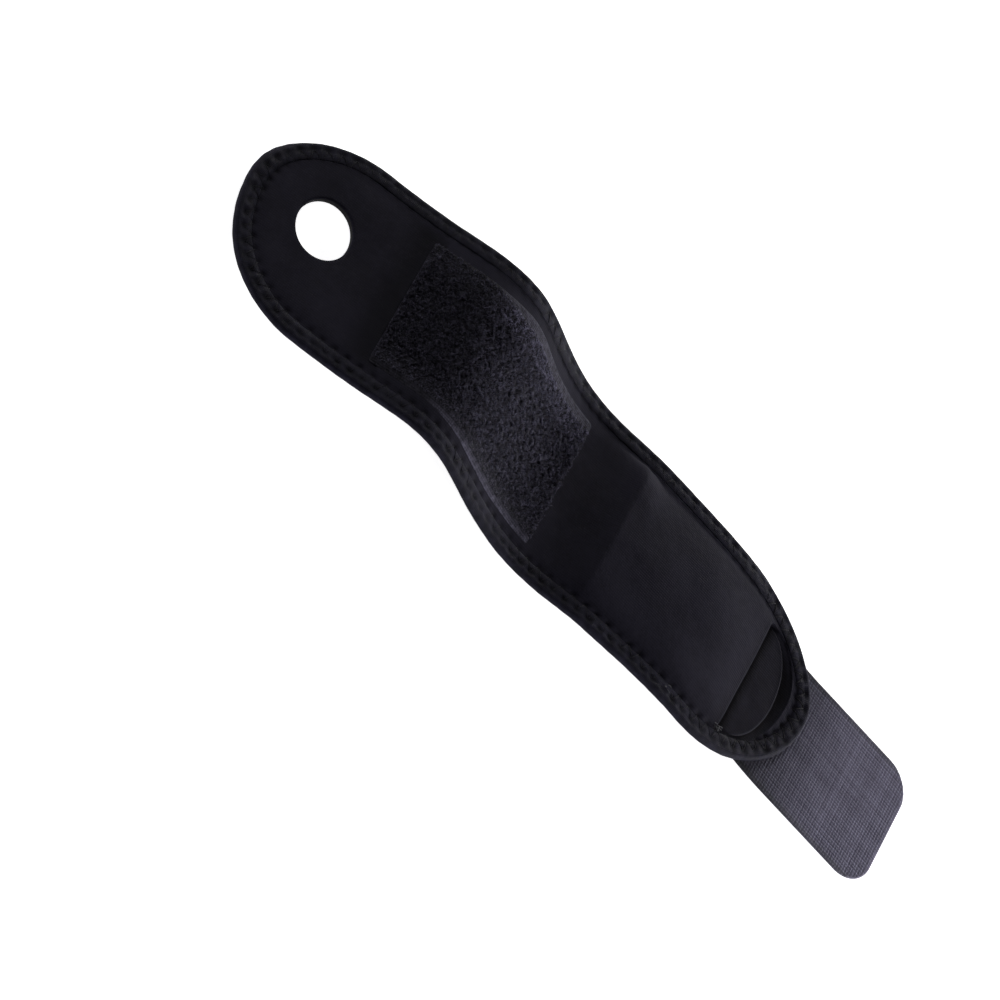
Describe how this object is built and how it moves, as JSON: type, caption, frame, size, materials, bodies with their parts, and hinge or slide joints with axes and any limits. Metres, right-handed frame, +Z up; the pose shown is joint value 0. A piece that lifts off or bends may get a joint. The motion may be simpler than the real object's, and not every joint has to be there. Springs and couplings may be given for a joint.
{
  "type": "wrist support wrap with thumb hole",
  "caption": "Soft neoprene wrist wrap with a thumb hole, bound edge, loop patch and hook tab, lying opened out with its outer face up.",
  "frame": {"origin": "on the table top, under the middle of the strap's box", "axes": "+X along the strap from the thumb end to the tab end, +Y across it, +Z up from the table"},
  "size_m": [0.295, 0.075, 0.0243],
  "materials": {
    "neoprene_jersey": "smooth black jersey over foam, soft sheen",
    "binding_tape": "black knit tape with zigzag stitching",
    "loop_pile": "matte black loop pile",
    "pad_jersey": "smooth black jersey, lightly padded",
    "hook_tape": "grey woven tape back"
  },
  "bodies": {
    "root": {"body": "neoprene_jersey", "edge_binding": "binding_tape", "loop_patch": "loop_pile", "end_pad": "pad_jersey", "hook_tab": "hook_tape"}
  },
  "joints": []
}
